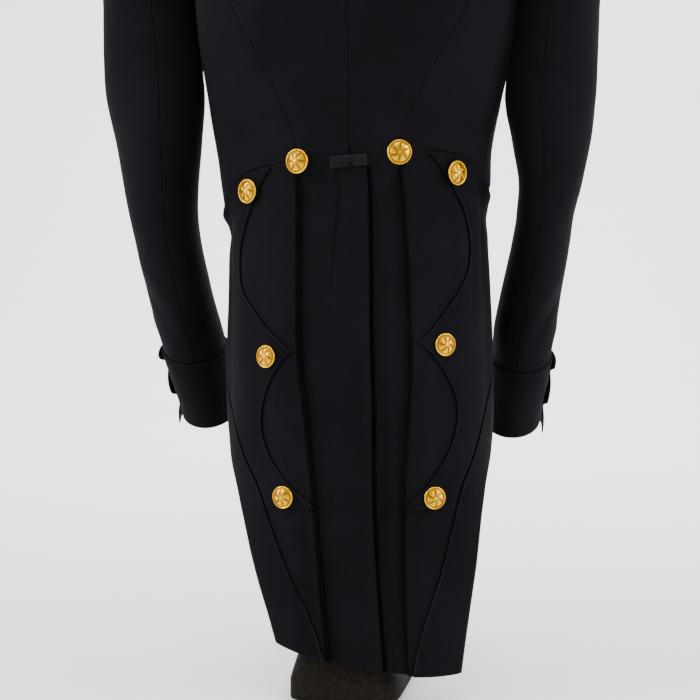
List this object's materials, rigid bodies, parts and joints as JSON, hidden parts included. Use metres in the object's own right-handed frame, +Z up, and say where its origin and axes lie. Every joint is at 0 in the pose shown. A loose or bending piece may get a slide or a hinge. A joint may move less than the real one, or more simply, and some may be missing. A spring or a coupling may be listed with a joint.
{
  "type": "military tailcoat on a dress form stand",
  "caption": "Dark wool tailcoat with long tails, side pleats, scalloped skirt flaps, slashed cuffs and gilt domed buttons, worn on a limbless dress form on a post and flat base.",
  "frame": {"origin": "on the flat underside of the stand's base, under the axis of the post, at floor level", "axes": "+Z up; the wearer faces +Y, so the back seam, pleats and tails face -Y; +X is the wearer's right"},
  "size_m": [0.517, 0.2983, 1.052],
  "materials": {
    "dark_blue_broadcloth": "milled wool broadcloth with a short nap, soft low sheen",
    "gilt_button": "gilt, rubbed bright on the raised parts",
    "form_cover": "plain undyed cotton jersey, drawn smooth",
    "stand_base": "dark stained, satin",
    "stand_post": "satin black"
  },
  "bodies": {
    "root": {"back_left": "dark_blue_broadcloth", "back_right": "dark_blue_broadcloth", "collar": "dark_blue_broadcloth", "cuff_button_left_1": "gilt_button", "cuff_button_left_2": "gilt_button", "cuff_button_left_3": "gilt_button", "cuff_button_right_1": "gilt_button", "cuff_button_right_2": "gilt_button", "cuff_button_right_3": "gilt_button", "cuff_flap_left": "dark_blue_broadcloth", "cuff_flap_right": "dark_blue_broadcloth", "cuff_left": "dark_blue_broadcloth", "cuff_right": "dark_blue_broadcloth", "dress_form": "form_cover", "flap_button_left_1": "gilt_button", "flap_button_left_2": "gilt_button", "flap_button_left_3": "gilt_button", "flap_button_right_1": "gilt_button", "flap_button_right_2": "gilt_button", "flap_button_right_3": "gilt_button", "front_button_1": "gilt_button", "front_button_2": "gilt_button", "front_button_3": "gilt_button", "front_button_4": "gilt_button", "front_button_5": "gilt_button", "front_button_6": "gilt_button", "front_button_7": "gilt_button", "front_button_8": "gilt_button", "front_button_9": "gilt_button", "front_left": "dark_blue_broadcloth", "front_right": "dark_blue_broadcloth", "hip_button_left": "gilt_button", "hip_button_right": "gilt_button", "side_left": "dark_blue_broadcloth", "side_right": "dark_blue_broadcloth", "skirt_flap_left": "dark_blue_broadcloth", "skirt_flap_right": "dark_blue_broadcloth", "skirt_left": "dark_blue_broadcloth", "skirt_right": "dark_blue_broadcloth", "stand_base": "stand_base", "stand_post": "stand_post", "turnback_left": "dark_blue_broadcloth", "turnback_right": "dark_blue_broadcloth", "under_sleeve_left": "dark_blue_broadcloth", "under_sleeve_right": "dark_blue_broadcloth", "upper_sleeve_left": "dark_blue_broadcloth", "upper_sleeve_right": "dark_blue_broadcloth", "vent_tack": "dark_blue_broadcloth"}
  },
  "joints": []
}
